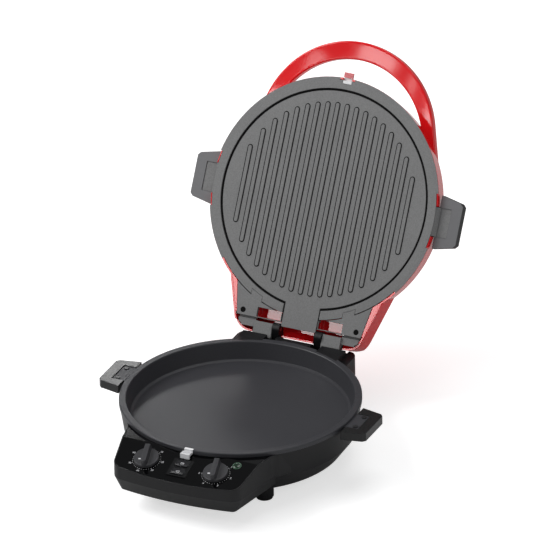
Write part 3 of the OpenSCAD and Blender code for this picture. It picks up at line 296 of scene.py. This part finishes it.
def print_dial(name, x0, sweep, words, count):
    """Ticks and numbers of a dial: count ticks spread over the sweep in degrees, clockwise from the
    pointer's rest, and the words at equal steps outside them, where the ticks are longer."""
    rest = 90 + knob_turn
    angles = rest - np.linspace(0, sweep, count)
    long = np.arange(count) % ((count - 1) // (len(words) - 1)) == 0
    radius = np.where(long, long_tick_r, short_tick_r)
    turn = np.radians(angles)
    ticks = np.stack([x0 + radius * np.cos(turn), radius * np.sin(turn), np.full(count, ink_lift),
                      np.where(long, long_tick, short_tick), np.full(count, tick_width),
                      np.full(count, ink_thick), angles], axis=-1)
    tick_corners, tick_faces = slabs(ticks)
    corners, faces = [tick_corners.reshape(-1, 3)], tick_faces.tolist()
    used = len(corners[0])
    for angle, word in zip(np.radians(rest - np.linspace(0, sweep, len(words))), words):
        points, outlines = number_mesh(word)
        corners.append(points + [x0 + number_r * math.cos(angle), number_r * math.sin(angle), ink_lift])
        faces += [[used + corner for corner in outline] for outline in outlines]
        used += len(points)
    mesh = bpy.data.meshes.new(name)
    mesh.from_pydata(on_fascia(np.concatenate(corners)).tolist(), [], faces)
    add_object(mesh, print_ink, "base")


print_dial("timer_scale", -dial_x, 300, ["0", "10", "20", "30", "40", "50", "60"], 31)
print_dial("heat_scale", dial_x, 270, ["0", "1", "2", "3", "4", "5"], 26)


# Two knobs
# Charcoal ABS, moulded in one piece: a disc with a raised grip bar across it, hollow below and pressed
# on a steel shaft. Finely eroded, so it is duller than the fascia. A white mark stands beside the bar.
def make_piece(name, corners, faces, material, body, crease=35):
    """Object of the given corners and faces on a body: equal corners are merged, faces point outward,
    and edges sharper than the crease angle stay sharp."""
    mesh = bpy.data.meshes.new(name)
    mesh.from_pydata(np.asarray(corners).reshape(-1, 3).tolist(), [], np.asarray(faces).tolist())
    skin = bmesh.new()
    skin.from_mesh(mesh)
    bmesh.ops.remove_doubles(skin, verts=skin.verts, dist=2e-6)
    bmesh.ops.recalc_face_normals(skin, faces=skin.faces)
    skin.to_mesh(mesh)
    skin.free()
    mesh.polygons.foreach_set("use_smooth", [True] * len(mesh.polygons))
    mesh.set_sharp_from_angle(angle=math.radians(crease))
    return add_object(mesh, material, body)


def surface(name, points, material, body, crease=35):
    """Grid of quads: row i joins row i + 1, and column j joins column j + 1, the last one the first.
    Axes before the last three are separate copies. Rows that shrink to one point close the ends."""
    rows, columns = points.shape[-3:-1]
    copies = points.size // (rows * columns * 3)
    i, j = np.meshgrid(np.arange(rows - 1), np.arange(columns), indexing="ij")
    k = (j + 1) % columns
    quads = np.stack([i * columns + j, i * columns + k, (i + 1) * columns + k, (i + 1) * columns + j], -1)
    quads = np.arange(copies)[:, None, None] * rows * columns + quads.reshape(1, -1, 4)
    return make_piece(name, points, quads.reshape(-1, 4), material, body, crease)


knob_r = 0.01725
knob_edge_r = 0.0009
disc_top = 0.005
bar_half = 0.00475
bar_foot = 0.0125
bar_rise = 0.0085
bar_flank = 0.0013
bar_dish = 0.0004
# Hollow underside, from the disc's side to the closed end of the bore: radius and height
knob_underside = np.array([[knob_r, 0.0006], [0.0085, 0.0006], [0.0085, 0.0036], [0.00302, 0.0036],
                           [0.00302, 0.0095], [0.0, 0.0095]])


def knob_points(x0):
    """Polar grid. The top is the disc's height plus the bar's, which rises as a smooth step of the
    distance inside the bar's outline. Then come a rounded rim, the side and the hollow underside."""
    around = np.linspace(0, 2 * math.pi, 240, endpoint=False)
    out = np.linspace(0, knob_r - knob_edge_r, 84)[:, None]
    x, y = out * np.cos(around), out * np.sin(around)
    inside = bar_half - np.hypot(x, np.minimum(y + bar_foot, 0.0))
    rise = np.clip(inside / bar_flank, 0, 1)
    dish = bar_dish * np.clip(1 - (x / bar_half) ** 2, 0, 1)
    height = disc_top + rise ** 2 * (3 - 2 * rise) * (bar_rise - dish)
    bend = np.radians([18, 36, 54, 72, 90])[:, None]
    rim_out = knob_r - knob_edge_r * (1 - np.sin(bend)) + 0 * around
    rim_up = height[-1] - knob_edge_r * (1 - np.cos(bend))
    low = knob_underside[:, :, None] + 0 * around
    radius = np.concatenate([out + 0 * around, rim_out, low[:, 0]])
    up = np.concatenate([height, rim_up, low[:, 1]])
    turn = around + math.radians(knob_turn)
    return on_fascia(np.stack([x0 + radius * np.cos(turn), radius * np.sin(turn), up], axis=-1))


# Dull dark grey with a faint sparkle from the eroded grain
knob_black = moulded("eroded charcoal ABS", "#343437", roughness=0.38, grain=0.0005, depth=0.00003,
                     edge=0.0005)
mark_across, mark_up = -0.0078, -0.0043
mark_length, mark_width = 0.0042, 0.0022
cos_turn, sin_turn = math.cos(math.radians(knob_turn)), math.sin(math.radians(knob_turn))
for node, x0 in (("timer_knob", -dial_x), ("thermostat_knob", dial_x)):
    knob = surface(node + "_body", knob_points(x0), knob_black, node, 50)
    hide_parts(node)
    corners, faces = slabs([[x0 + mark_across * cos_turn - mark_up * sin_turn,
                             mark_across * sin_turn + mark_up * cos_turn, disc_top + ink_lift,
                             mark_length, mark_width, ink_thick, knob_turn]])
    make_piece(node + "_mark", on_fascia(corners), faces, print_ink, node)

# Two rockers
# Gloss black ABS rockers on cross pins in a black switch body. Each has a printed sign: a frame with a
# bar at its top for the upper heat, and one with a bar at its foot for the lower heat.
dress(moulded("black ABS switch", "#08080a", roughness=0.16, grain=0.002, depth=0.00001, edge=0.0005,
              coat=0.2), "switch_body")
# A little lighter than the switch body, so the rockers stand out from it
dress(moulded("smooth black ABS", "#1b1b1e", roughness=0.24, grain=0.0008, depth=0.00001, edge=0.0005),
      "upper_heat_rocker", "lower_heat_rocker")
rocker_middle = -0.0037
rocker_step = 0.0076
rocker_lean = math.radians(-6)
rocker_dip = 0.0012
dip_run = 5.5
sign_length, sign_width, stroke = 0.0046, 0.0032, 0.0004
sign_x, sign_y = 0.0021, 0.0016
bar_length, bar_width, bar_y = 0.0032, 0.0006, 0.0009
for node, body, side in (("upper_heat_sign", "upper_rocker", 1), ("lower_heat_sign", "lower_rocker", -1)):
    sign, faces = slabs([[0, sign_y, 0, sign_length, stroke, ink_thick, 0],
                         [0, -sign_y, 0, sign_length, stroke, ink_thick, 0],
                         [-sign_x, 0, 0, stroke, sign_width, ink_thick, 0],
                         [sign_x, 0, 0, stroke, sign_width, ink_thick, 0],
                         [0, side * bar_y, 0, bar_length, bar_width, ink_thick, 0]])
    # The sign follows the rocker's shallow V, which rises 1 mm in 5.5 mm to each side of its dip
    sign[..., 2] += rocker_dip + ink_thick / 2 + np.abs(sign[..., 1]) / dip_run
    up = rocker_middle + side * rocker_step
    c, s = math.cos(rocker_lean), math.sin(rocker_lean)
    tipped = np.stack([sign[..., 0], up + sign[..., 1] * c - sign[..., 2] * s,
                       sign[..., 1] * s + sign[..., 2] * c], axis=-1)
    make_piece(node, on_fascia(tipped), faces, print_ink, body)

# Power lamp
# A low dome of dark green polycarbonate, clear-moulded, pushed into the fascia from above. Unlit, it
# looks nearly black in the middle, and a paler green collar goes round it.
lamp_at = (0.0736, 0.0213)


def lamp_ring(profile):
    """A profile of radius and height in millimetres, turned about the lamp's middle."""
    around = np.linspace(0, 2 * math.pi, 48, endpoint=False)
    radius, height = profile[:, 0, None] / 1000, profile[:, 1, None] / 1000
    return on_fascia(np.stack([lamp_at[0] + radius * np.cos(around), lamp_at[1] + radius * np.sin(around),
                               height + 0 * around], axis=-1))


# Deep green that shines like glass
lens_green = moulded("dark green polycarbonate", "#0c2a17", roughness=0.12, grain=0.003, depth=0.000004,
                     edge=0.0002, coat=0.4)
dome = np.array([[0, 1.6], [1, 1.58], [2, 1.5], [3, 1.36], [3.8, 1.2], [4.4, 1.02], [4.8, 0.82], [5.0, 0.62],
                 [5.12, 0.4], [5.15, 0.2], [5.15, -2.5], [0, -2.5]])
lens = surface("power_lens", lamp_ring(dome), lens_green, "base")
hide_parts("power_lamp")
# Duller and paler, so the lens has a visible outline
lens_rim = moulded("green polycarbonate rim", "#4d6b57", roughness=0.3, grain=0.002, depth=0.00001,
                   edge=0.0002)
collar = np.array([[5.2, 0.0], [5.2, 0.5], [5.5, 0.7], [6.0, 0.7], [6.2, 0.5], [6.2, 0.0], [5.2, 0.0]])
surface("lamp_collar", lamp_ring(collar), lens_rim, "base")


# Pan
# Cast aluminium, turned at its rim, blasted, then sprayed with a dark grey non-stick coat. Its grips
# are black phenolic, riveted to the pan's tabs with blackened rivets.
def coated_cast(name, colour, roughness, speck, contrast, edge=0.0008, gloss=0.5):
    """Sprayed coat on blasted metal: a speckle over a cloud of some 7 cm, the same speckle in its bump,
    and edges rounded to the given radius. A real speck is about 0.3 mm wide, less than a pixel, so it
    is drawn coarser."""
    material, tree = new_material(name)
    where = add_node(tree, "ShaderNodeTexCoord")
    cloud = add_node(tree, "ShaderNodeTexNoise", None,
                     {"Vector": where.outputs["Object"], "Scale": 14.0, "Detail": 2.0})
    speckle = add_node(tree, "ShaderNodeTexNoise", None,
                       {"Vector": where.outputs["Object"], "Scale": 1 / speck, "Detail": 4.0,
                        "Roughness": 0.7})
    tint = add_node(tree, "ShaderNodeMapRange", None,
                    {"Value": speckle.outputs["Fac"], "From Min": 0.3, "From Max": 0.7})
    slow = add_node(tree, "ShaderNodeMapRange", None,
                    {"Value": cloud.outputs["Fac"], "To Min": 0.93, "To Max": 1.07})
    shade = add_node(tree, "ShaderNodeVectorMath", {"operation": "SCALE"},
                     {0: two_tones(tree, colour, 1 - contrast, 1 + contrast, tint.outputs[0]),
                      "Scale": slow.outputs[0]})
    rough = add_node(tree, "ShaderNodeMapRange", None,
                     {"Value": speckle.outputs["Fac"], "To Min": roughness - 0.06,
                      "To Max": roughness + 0.06})
    rounded = add_node(tree, "ShaderNodeBevel", {"samples": 4}, {"Radius": edge})
    bump = add_node(tree, "ShaderNodeBump", None, {"Height": speckle.outputs["Fac"], "Strength": 0.6,
                                                   "Distance": 0.00006, "Normal": rounded.outputs[0]})
    shader = add_node(tree, "ShaderNodeBsdfPrincipled", None,
                      {"Base Color": shade.outputs[0], "Roughness": rough.outputs[0],
                       "Normal": bump.outputs[0], "IOR": 1.45, "Specular IOR Level": gloss})
    add_node(tree, "ShaderNodeOutputMaterial", None, {"Surface": shader.outputs[0]})
    return material


# Dark grey that shows a soft sheen over the pan's floor
dress(coated_cast("dark sprayed non-stick coat", "#39393d", roughness=0.42, speck=0.0016, contrast=0.10,
                  edge=0.0010), "pan")
# Deep black that takes one clear reflection on its top
dress(moulded("black phenolic", "#0c0c0d", roughness=0.30, grain=0.0006, depth=0.00002, edge=0.0012),
      "pan_grips", "cord_gland")
dress(moulded("blackened steel", "#1c1c1e", roughness=0.35, grain=0.002, depth=0.00001, edge=0.0004),
      "pan_rivets")

# Latches
# Two acetal tongues that snap over the rim of the pan and of the grill plate, each with a ribbed thumb
# button. The upper button is red like the lid.
dress(moulded("white acetal", "#f2f2f3", roughness=0.28, grain=0.002, depth=0.00001, edge=0.0004),
      "pan_latch", "lid_latch")
# Slightly darker and duller than the tongue that it sits on
dress(moulded("pale grey acetal", "#d9d9db", roughness=0.34, grain=0.002, depth=0.00001, edge=0.0004),
      "pan_latch_button")
dress(moulded("rose red ABS", "#e2656b", roughness=0.25, grain=0.002, depth=0.00001, edge=0.0004,
              coat=0.3), "lid_latch_button")


# Parts under and inside the base
# Pads of black silicone, a pressed steel bottom plate, zinc plated screws and pins, brass nuts, steatite
# and pale nylon bodies, bright reflectors and the dark oxidised tubes of the heating elements.
def bare_metal(name, colour, roughness, spread):
    """Bare or plated metal: its tone and its roughness follow the streaks of rolling or turning, which
    are about 11 mm long and 1 mm wide."""
    material, tree = new_material(name)
    where = add_node(tree, "ShaderNodeTexCoord")
    drawn = add_node(tree, "ShaderNodeMapping", None,
                     {"Vector": where.outputs["Object"], "Scale": (1.0, 12.0, 12.0)})
    streak = add_node(tree, "ShaderNodeTexNoise", None,
                      {"Vector": drawn.outputs[0], "Scale": 90.0, "Detail": 3.0})
    rough = add_node(tree, "ShaderNodeMapRange", None,
                     {"Value": streak.outputs["Fac"], "To Min": roughness - spread,
                      "To Max": roughness + spread})
    shader = add_node(tree, "ShaderNodeBsdfPrincipled", None,
                      {"Base Color": two_tones(tree, colour, 0.85, 1.12, streak.outputs["Fac"]),
                       "Roughness": rough.outputs[0], "Metallic": 1.0})
    add_node(tree, "ShaderNodeOutputMaterial", None, {"Surface": shader.outputs[0]})
    return material


# Metals: each reflects with its own tint, from cloudy zinc to nearly mirror-bright reflectors
dress(bare_metal("zinc plated steel", "#b9bbbe", roughness=0.32, spread=0.08), "cover_screws", "foot_screws",
      "timer_shaft", "thermostat_shaft", "hinge_pins", "handle_screws", "element_clips", "upper_clips")
dress(bare_metal("rolled steel sheet", "#9a9da1", roughness=0.38, spread=0.10), "bottom_cover")
dress(bare_metal("bright aluminised steel", "#c2c5c8", roughness=0.24, spread=0.08), "lower_reflector",
      "upper_reflector")
dress(bare_metal("oxidised heater tube", "#5c5a58", roughness=0.45, spread=0.10), "lower_element",
      "upper_element")
dress(bare_metal("turned brass", "#c9a554", roughness=0.3, spread=0.08), "shaft_nuts")
# Pads that give no highlight, chalky white ceramic, and waxy pale nylon
dress(moulded("black silicone", "#101011", roughness=0.7, grain=0.001, depth=0.00002), "foot_pads")
dress(moulded("white steatite", "#dcd8cc", roughness=0.5, grain=0.001, depth=0.00002), "lower_cutout",
      "upper_cutout", "terminal_block")
dress(moulded("pale nylon", "#c8c6be", roughness=0.42, grain=0.001, depth=0.00002), "lamp_holder",
      "timer_unit", "thermostat_unit")

# Lid cover and handle
# Red polyamide moulded with a high gloss. The cover is CAD's; the handle is a loop of rounded section
# with flat faces, screwed from inside into two channels of the cover.
# Bright red, in which the lamps show as sharp bands
red_gloss = moulded("high gloss red polyamide", "#e8191f", roughness=0.05, grain=0.006, depth=0.000001,
                    edge=0.0012)
dress(red_gloss, "lid_shell")
lid_lean = math.radians(30)
hinge_axis = (0.085028, 0.0951)
plate_face = 0.0045
plate_middle = 0.1854


def on_lid(points):
    """World places of points given as (across, in front of the hinge axis, behind the plate's face):
    the last two are turned with the open lid."""
    u, v, w = np.moveaxis(np.asarray(points, dtype=float), -1, 0)
    c, s = math.cos(lid_lean), math.sin(lid_lean)
    return np.stack([u, hinge_axis[0] + s * v + c * (w - plate_face),
                     hinge_axis[1] + c * v - s * (w - plate_face)], axis=-1)


def loop_edge(radius, centre):
    """One edge of the handle in plan: an arc about a centre in front of the plate's middle, which runs
    out at 17.2 degrees into straight legs that end 12 mm in front of that middle."""
    leg = math.radians(17.2)
    leg_end = 0.012
    turn = np.linspace(leg, math.pi - leg, 90)
    arc = np.stack([radius * np.cos(turn), centre + radius * np.sin(turn)], axis=-1)
    fall = np.linspace(1, 0, 16, endpoint=False)[:, None]
    foot = np.array([arc[0, 0] + (arc[0, 1] - leg_end) * math.tan(leg), leg_end])
    first = arc[0] + fall * (foot - arc[0])
    return np.concatenate([first, arc, first[::-1] * [-1, 1]])


outer = loop_edge(radius=0.130, centre=0.0908)
inner = loop_edge(radius=0.115, centre=0.0808)
middle, reach = (outer + inner) / 2, (outer - inner) / 2
# A quarter of the section, as shares of its half width and half thickness: flat, round, flat
bend = np.radians(np.linspace(0, 90, 7))
corner_x = np.concatenate([[1.0, 1.0], 0.78 + 0.22 * np.cos(bend), [0.74, 0.70]])
corner_y = np.concatenate([[0.58, 0.66], 0.70 + 0.30 * np.sin(bend), [1.0, 1.0]])
side = np.concatenate([corner_x, -corner_x[::-1], -corner_x, corner_x[::-1]])
thick = np.concatenate([corner_y, corner_y[::-1], -corner_y, -corner_y[::-1]])
section = middle[:, None, :] + side[:, None] * reach[:, None, :]
closed_end = 0 * section[:1]
section = np.concatenate([middle[:1, None, :] + closed_end, section, middle[-1:, None, :] + closed_end])
handle_depth = 0.034
handle_half = 0.006
lift = np.broadcast_to(handle_depth + handle_half * thick, section.shape[:2]).copy()
lift[[0, -1]] = handle_depth
handle = surface("handle_loop", on_lid(np.stack([section[..., 0], plate_middle + section[..., 1], lift], -1)),
                 red_gloss, "lid", 60)
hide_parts("lid_handle")

# Grill plate, lid frame and hinge arms
# Cast aluminium with a mid grey speckled non-stick coat. Black painted shade lies in the groove round the
# cooking face and in the crease along the foot of each rib, and the frame's screws, sunk in the plate, are
# painted as black as the shade of their holes.
grey_coat = coated_cast("grey speckled non-stick coat", "#808080", roughness=0.62, speck=0.0018,
                        contrast=0.16, edge=0.0007, gloss=0.3)
dress(grey_coat, "grill_plate", "lid_frame", "hinge_arms", "plate_rivets")
# Two blacks without shine, both painted shade: one reads as a drawn line of shade in the groove and the
# creases, the other, on the screws, as the shade of a hole
shade_black = moulded("painted shade black", "#030303", roughness=0.7, grain=0.001, depth=0.00002,
                      edge=0.0001, gloss=0.15)
# Black steel screws, darkened to the black of the shade in their sunk holes: painted shade
dress(moulded("black steel in painted hole shade", "#030303", roughness=0.6, grain=0.002, depth=0.00001, edge=0.0003,
              gloss=0.1), "frame_screws")


def arc_bands(name, spans, across, deep, material):
    """Flat bands about the plate's middle, on the plate: each between two angles from the handle's
    side in degrees, two radii and two depths. The end rows shrink to a point, which closes them."""
    spans = np.radians(np.asarray(spans, dtype=float))
    run = np.concatenate([[0], np.linspace(0, 1, 160), [1]])
    turn = (spans[:, :1] + run * (spans[:, 1:] - spans[:, :1]))[..., None]
    radius = np.tile(np.array([across[0], across[1], across[1], across[0]]), (len(run), 1))
    depth = np.tile(np.array([deep[0], deep[0], deep[1], deep[1]]), (len(run), 1))
    radius[[0, -1]] = np.mean(across)
    depth[[0, -1]] = np.mean(deep)
    points = np.stack([radius * np.sin(turn), plate_middle + radius * np.cos(turn), depth + 0 * turn], -1)
    surface(name, on_lid(points), material, "grill_plate")


# Painted shade: a black band lies in the groove, where its shade falls; it ends beside the tongue and runs on
# along its two sides, 26.5 mm each
groove_r = 0.151
shade_half = 0.00165
tongue_side = 0.0267
arc_bands("groove_painted_shade", [(-170.3, 170.3)], across=(groove_r - shade_half, groove_r + shade_half),
          deep=(0.00190, 0.00199), material=shade_black)
strip_middle, strip_depth = 0.0235, 0.00194
strip_width, strip_length, strip_thick = 0.0019, 0.0265, 0.00008
corners, faces = slabs([[x, strip_middle, strip_depth, strip_width, strip_length, strip_thick, 0]
                        for x in (-tongue_side, tongue_side)])
make_piece("tongue_painted_shade", on_lid(corners), faces, shade_black, "grill_plate")
# The sprayed rim spreads over the mouth of the cover; it is broken at the grips, the latch and the neck
arc_bands("plate_rim", [(-129, -103), (-76.8, -3.8), (3.8, 76.8), (103, 129)], across=(0.1646, 0.1682),
          deep=(0.00002, 0.00032), material=grey_coat)

# Painted shade: a black band 1.6 mm wide goes round the foot of each rib, where the shade of its crease
# falls: two half circles at its ends, joined by straight lines
rib_count = 18
rib_pitch = 0.01435
rib_end_r = 0.133
rib_half = 0.0025
crease_shift = 0.0002
ribs = (np.arange(rib_count) - (rib_count - 1) / 2) * rib_pitch
reach = np.sqrt(rib_end_r ** 2 - ribs ** 2) - rib_half
ends = np.radians(np.concatenate([np.linspace(0, 180, 13), np.linspace(180, 360, 13)]))
far = np.where(np.arange(len(ends)) < len(ends) / 2, 1, -1)
profile = np.array([[2.3, 1.02], [2.3, 0.92], [3.9, 0.92], [3.9, 1.02], [2.3, 1.02]]) / 1000
crease_x = ribs[:, None, None] - crease_shift + profile[:, :1] * np.cos(ends)
crease_y = plate_middle + reach[:, None, None] * far + profile[:, :1] * np.sin(ends)
crease = np.stack([crease_x, crease_y, profile[:, 1:] + 0 * crease_x], -1)
surface("rib_crease_shade", on_lid(crease), shade_black, "grill_plate")

# Plate grips
# Phenolic grips riveted round the plate's cast tabs. Their faces that turn out of the plate's face are grey,
# like the plate, and their other faces are black.
grips = moulded("grey and black phenolic", "#747476", roughness=0.5, grain=0.0006, depth=0.00003,
                edge=0.0012, gloss=0.35)
tree = grips.node_tree
shader = tree.nodes["Principled BSDF"]
grey = shader.inputs["Base Color"].links[0].from_socket
facing = add_node(tree, "ShaderNodeTexCoord")
toward = add_node(tree, "ShaderNodeVectorMath", {"operation": "DOT_PRODUCT"},
                  {0: facing.outputs["Normal"], 1: (0.0, -0.866, 0.5)})
front = add_node(tree, "ShaderNodeMath", {"operation": "GREATER_THAN"}, {0: toward.outputs["Value"], 1: 0.8})
face = add_node(tree, "ShaderNodeMix", {"data_type": "RGBA"},
                {0: front.outputs[0], 6: to_linear("#141416"), 7: grey})
tree.links.new(face.outputs[2], shader.inputs["Base Color"])
dress(grips, "plate_grips")
